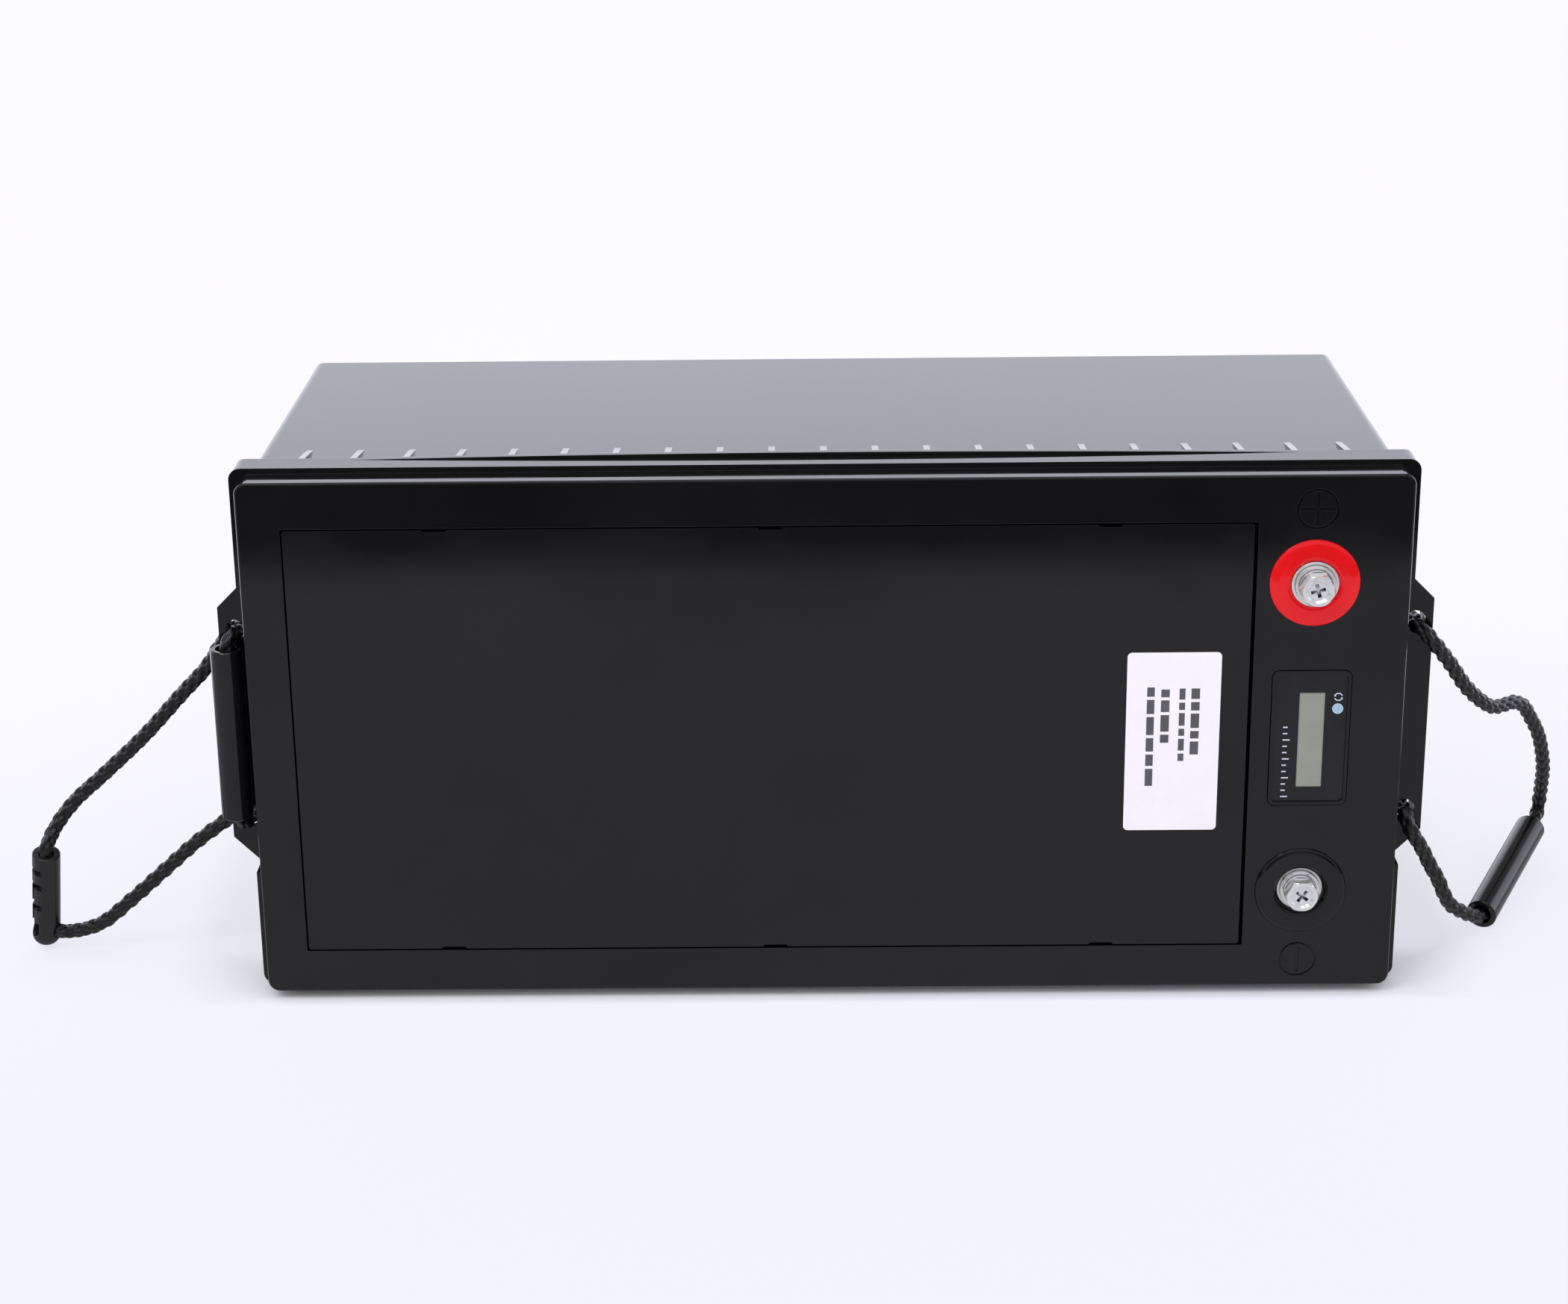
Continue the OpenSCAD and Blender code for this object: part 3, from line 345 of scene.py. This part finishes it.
RIGHT_ROUTE = [
    (253.6, 28.4, 136), (253.6, 28.4, 141), (253.6, 28.4, 146.5), (253.6, 26.9, 152.4), (253.4, 22.8, 157.2),
    (253.3, 17, 160.5), (253.3, 11, 161.8), (253.3, 5.9, 162), (253.3, 2.2, 162), (256, -1.5, 160.6),
    (260.8, -0.5, 155), (270.2, 8, 142),
    (279.4, 18, 128), (288.5, 28, 117.5), (296.6, 38, 110.5), (303, 46, 108.4),
    (309.4, 54, 106.6), (315.4, 62, 101.8), (320.7, 70, 93.3), (326.7, 79, 82.4),
    (331.2, 88, 70.7), (335, 98, 57.6), (337.8, 110, 43.5), (339.2, 117.5, 33),
    (338.8, 117.8, 26.6), (336.4, 112.8, 23.6), (333.4, 107, 22.5), (321.4, 83.9, 18.1),
    (309.3, 60.7, 13.8), (297.3, 37.6, 9.4), (290, 29, 13.6), (284, 23, 18.6),
    (279, 18.5, 23.4), (274.7, 14, 31.2), (271, 10.5, 39.7), (266.4, 7, 48),
    (262.5, 3.6, 56), (258.2, 0, 63.6), (254.6, -1.2, 69.8), (253.3, 2.2, 74.5),
    (253.3, 5.9, 74.5), (253.3, 12, 74.5), (253.4, 20, 75.6), (253.6, 26.2, 79.2), (253.6, 28.4, 86),
    (253.6, 28.4, 98),
]


def spline(points, step):
    """Points a step apart, measured along a centripetal Catmull-Rom curve through the route."""
    pts = [Vector(p) for p in points]
    pts = [2 * pts[0] - pts[1]] + pts + [2 * pts[-1] - pts[-2]]
    dense, count = [], 24
    for a, b, c, d in zip(pts, pts[1:], pts[2:], pts[3:]):
        knots = [0.0]
        for p, q in ((a, b), (b, c), (c, d)):
            knots.append(knots[-1] + max((q - p).length, 1e-9) ** 0.5)
        t0, t1, t2, t3 = knots
        for i in range(count):
            t = t1 + (t2 - t1) * i / count
            a1 = a.lerp(b, (t - t0) / (t1 - t0))
            a2 = b.lerp(c, (t - t1) / (t2 - t1))
            a3 = c.lerp(d, (t - t2) / (t3 - t2))
            b1 = a1.lerp(a2, (t - t0) / (t2 - t0))
            b2 = a2.lerp(a3, (t - t1) / (t3 - t1))
            dense.append(b1.lerp(b2, (t - t1) / (t2 - t1)))
    dense.append(pts[-2])
    line, want, run = [dense[0]], step, 0.0
    for p, q in zip(dense, dense[1:]):
        span = (q - p).length
        while span > 0 and run + span >= want:
            line.append(p.lerp(q, (want - run) / span))
            want += step
        run += span
    return line


def carried_frames(line):
    """An unturned frame at each point of a line, carried from one to the next."""
    frames, side = [], Vector((1, 0, 0))
    for i, p in enumerate(line):
        along = (line[min(i + 1, len(line) - 1)] - line[max(i - 1, 0)]).normalized()
        side = (side - along * side.dot(along)).normalized()
        frames.append((p, side, along.cross(side)))
    return frames


def braid_radius(turn, run):
    """Radius of a braid of four strands each way, at a share of a turn and a distance along it."""
    strands, pitch = 4, 0.030
    ridge, weave, core, half_width = 0.0007, 0.00065, 0.0021, 0.42
    heights = [core]
    a = strands * (turn + run / pitch)
    b = strands * (turn - run / pitch)
    da, db = a % 1 - 0.5, b % 1 - 0.5
    over = 1 if (math.floor(a) + math.floor(b)) % 2 == 0 else -1
    for across, along, sign in ((da, db, over), (db, da, -over)):
        crown = max(0.0, 1 - (across / half_width) ** 2)
        lift = weave * sign * math.cos(math.pi * along) * (crown > 0)
        heights.append(core + ridge * math.sqrt(crown) + lift)
    return max(heights)


def add_rope(name, route, replaced):
    """One braided piece along a route, in place of CAD rope nodes. Returns it, its length and its path."""
    step, sides, path_every = 0.0005, 32, 8
    line = spline([mm(*p) for p in route], step)
    verts, faces = [], []
    for i, (p, u, v) in enumerate(carried_frames(line)):
        for k in range(sides):
            turn = k / sides
            r = braid_radius(turn, i * step)
            angle = 2 * math.pi * turn
            verts.append(p + r * (math.cos(angle) * u + math.sin(angle) * v))
    for i in range(len(line) - 1):
        for k in range(sides):
            a, b = i * sides + k, i * sides + (k + 1) % sides
            faces.append((a, b, b + sides, a + sides))
    last = (len(line) - 1) * sides
    faces.append(tuple(range(sides - 1, -1, -1)))
    faces.append(tuple(last + k for k in range(sides)))
    rope = add_piece(name, verts, faces, "rope_fibre", None)
    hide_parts(*replaced)
    length = (len(line) - 1) * step
    return rope, length, line[::path_every] + [line[-1]]


def add_ropes():
    """Both rope handles. Each runs through its lug on the case, with its loop beyond it."""
    rope, length, path = add_rope("left_rope", LEFT_ROUTE,
                                  ["left_inner_rope", "left_upper_rope", "left_lower_rope"])
    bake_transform(rope)
    rope, length, path = add_rope("right_rope", RIGHT_ROUTE,
                                  ["right_front_rope", "right_upper_rope", "right_lower_rope"])
    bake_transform(rope)


# ---------- Printed marks ----------

# Depths of the label's and the meter overlay's faces, in mm
LABEL_FACE_Y, METER_FACE_Y = -19.5, -18.75


def add_print(name, outlines, y, slot_name, thick=0.06):
    """Flat ink: outlines in X and Z, in mm, raised by its thickness from the surface at depth y."""
    verts, faces = [], []
    for outline in outlines:
        first, count = len(verts), len(outline)
        for depth in (y, y - thick):
            verts += [mm(x, depth, z) for x, z in outline]
        faces.append(tuple(first + k for k in range(count)))
        faces.append(tuple(first + count + k for k in range(count - 1, -1, -1)))
        for k in range(count):
            a, b = first + k, first + (k + 1) % count
            faces.append((b, a, a + count, b + count))
    obj = add_piece(name, verts, faces, slot_name, "case", smooth=False)
    bm = bmesh.new()
    bm.from_mesh(obj.data)
    bmesh.ops.recalc_face_normals(bm, faces=bm.faces)
    bm.to_mesh(obj.data)
    bm.free()


def block(x0, z0, x1, z1):
    return [(x0, z0), (x1, z0), (x1, z1), (x0, z1)]


def add_label_lines():
    """Four lines of plain bars, which run down the label as its lines of print do."""
    rng = random.Random(7)
    shortest, longest, space, leftover = 3.0, 8.5, 1.4, 2
    bars = []
    for x, width, z_low, z_high in ((157.2, 3.6, 110.5, 142.0), (151.6, 2.5, 107.5, 142.0),
                                    (144.4, 3.6, 115.0, 141.6), (138.2, 3.2, 97.5, 142.6)):
        z = z_high
        while z > z_low + leftover:
            step = min(rng.uniform(shortest, longest), z - z_low)
            bars.append(block(x - width / 2, z - step, x + width / 2, z))
            z -= step + space
    add_print("label_lines", bars, LABEL_FACE_Y, "label_ink")


def add_meter_marks():
    """A plain scale beside the display, and two arrows in a circle above the button."""
    first_z, pitch, half, left, short, long = 91.8, 2.9, 0.28, 195.0, 196.9, 198.0
    ticks = []
    for i in range(12):
        z = first_z + i * pitch
        ticks.append(block(left, z - half, short if i % 3 else long, z + half))
    add_print("meter_scale", ticks, METER_FACE_Y, "white_ink")
    arrows = []
    cx, cz, r_in, r_out = 217.9, 137.4, 1.4, 1.85
    sweep, tip_at, flare = 130, 158, 0.6
    for turn in (20, 200):
        angles = [math.radians(turn + a) for a in range(0, sweep + 1, 10)]
        rim = [(cx + r_out * math.cos(a), cz + r_out * math.sin(a)) for a in angles]
        inner = [(cx + r_in * math.cos(a), cz + r_in * math.sin(a)) for a in reversed(angles)]
        arrows.append(rim + inner)
        tip, root = math.radians(turn + tip_at), angles[-1]
        middle = (r_in + r_out) / 2
        arrows.append([(cx + r * math.cos(a), cz + r * math.sin(a))
                       for r, a in ((middle + flare, root), (middle, tip), (middle - flare, root))])
    add_print("cycle_sign", arrows, METER_FACE_Y, "white_ink")


# ---------- Painted gap shade and button rim ---

def add_panel_gap_shade():
    """A matt black frame at the bottom of the gap round the inset panel. It reaches a little under the panel.
    It is painted shade, a guess, which makes the gap look black."""
    low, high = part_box("inset_panel")
    gap, end_gap, under = 0.78 * MM, 1.58 * MM, 1.6 * MM
    back_space, front_space = 0.19 * MM, 0.04 * MM
    back, front = high.y + back_space, high.y + front_space
    outer = [(low.x - gap, low.z - gap), (high.x + end_gap, low.z - gap),
             (high.x + end_gap, high.z + gap), (low.x - gap, high.z + gap)]
    inner = [(low.x + under, low.z + under), (high.x - under, low.z + under),
             (high.x - under, high.z - under), (low.x + under, high.z - under)]
    loops = ((front, outer), (front, inner), (back, outer), (back, inner))
    verts = [(x, y, z) for y, loop in loops for x, z in loop]
    faces = []
    for k in range(4):
        n = (k + 1) % 4
        faces += [(k, n, 4 + n, 4 + k), (8 + k, 12 + k, 12 + n, 8 + n), (k, 8 + k, 8 + n, n),
                  (4 + k, 4 + n, 12 + n, 12 + k)]
    add_piece("panel_gap_shade", verts, faces, "gap_shade_black", "case", smooth=False)


def add_button_rim():
    """The pale raised rim of the meter button."""
    low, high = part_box("meter_button")
    middle, radius = (low + high) / 2, (high.x - low.x) / 2
    sides, wide, rise, sunk = 48, 0.42 * MM, 0.14 * MM, 0.3
    flat_from, flat_to = 0.3, 0.7
    profile = [(radius, sunk * rise), (radius - flat_from * wide, -rise), (radius - flat_to * wide, -rise),
               (radius - wide, sunk * rise)]
    verts, faces = [], []
    for i in range(sides):
        angle = 2 * math.pi * i / sides
        for r, depth in profile:
            verts.append((middle.x + r * math.cos(angle), low.y + depth, middle.z + r * math.sin(angle)))
    count = len(profile)
    for i in range(sides):
        for k in range(count):
            a, b = i * count + k, i * count + (k + 1) % count
            c, d = (i + 1) % sides * count + k, (i + 1) % sides * count + (k + 1) % count
            faces.append((a, b, d, c))
    add_piece("button_rim", verts, faces, "button_rim", "meter_button")


# ---------- Build ----------

bpy.context.scene.view_settings.view_transform = "Standard"
add_camera()
add_world()
add_floor()
add_softbox("key", at=(-0.9, -0.8, 1.7), aim=(0, 0, 0.1), size=(0.7, 0.7), power=6)
dress_cad_nodes()
add_ropes()
add_label_lines()
add_meter_marks()
add_panel_gap_shade()
add_button_rim()
